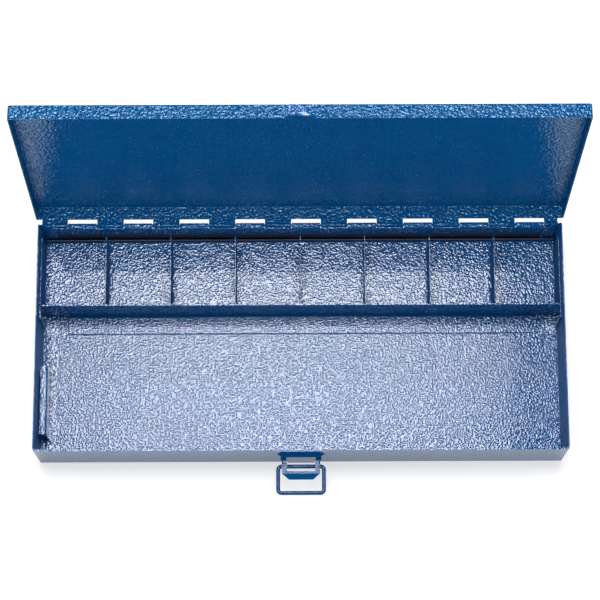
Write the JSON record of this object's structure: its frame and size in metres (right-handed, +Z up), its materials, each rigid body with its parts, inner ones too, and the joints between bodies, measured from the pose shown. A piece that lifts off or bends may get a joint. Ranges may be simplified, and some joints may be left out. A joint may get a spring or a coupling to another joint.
{
  "type": "steel compartment box",
  "caption": "Shallow sheet steel box with a hinged lid, a front bay, a rear row of small compartments and a hasp with a wire ring.",
  "frame": {"origin": "centre of the underside that the box stands on", "axes": "+Z up, +X to the right along the box's length, -Y towards the front with the hasp"},
  "size_m": [0.397, 0.2387, 0.213],
  "materials": {
    "blue_enamel": "gloss hammered enamel"
  },
  "bodies": {
    "box": {"body_shell": "blue_enamel", "side_panel_left": "blue_enamel", "side_panel_right": "blue_enamel", "hinge_pin": "blue_enamel", "partition": "blue_enamel", "compartment_tray": "blue_enamel", "tray_end_left": "blue_enamel", "tray_end_right": "blue_enamel", "divider_1": "blue_enamel", "divider_2": "blue_enamel", "divider_3": "blue_enamel", "divider_4": "blue_enamel", "divider_5": "blue_enamel", "divider_6": "blue_enamel", "divider_7": "blue_enamel", "tool_ledge": "blue_enamel", "latch_base": "blue_enamel", "hasp_rivets": "blue_enamel"},
    "lid": {"lid": "blue_enamel", "lid_catch": "blue_enamel"},
    "hasp": {"hasp": "blue_enamel"},
    "ring": {"bail_ring": "blue_enamel"}
  },
  "joints": [
    {"name": "lid_hinge", "type": "hinge", "parent": "box", "child": "lid", "pos_m": [0, 0.0882, 0.0332], "axis": [1, 0, 0], "range_deg": [0, 96]},
    {"name": "hasp_hinge", "type": "hinge", "parent": "box", "child": "hasp", "pos_m": [0, -0.0892, 0.0322], "axis": [-1, 0, 0], "range_deg": [0, 90]},
    {"name": "ring_hinge", "type": "hinge", "parent": "hasp", "child": "ring", "pos_m": [0, -0.0943, 0.028], "axis": [1, 0, 0], "range_deg": [0, 100]}
  ]
}
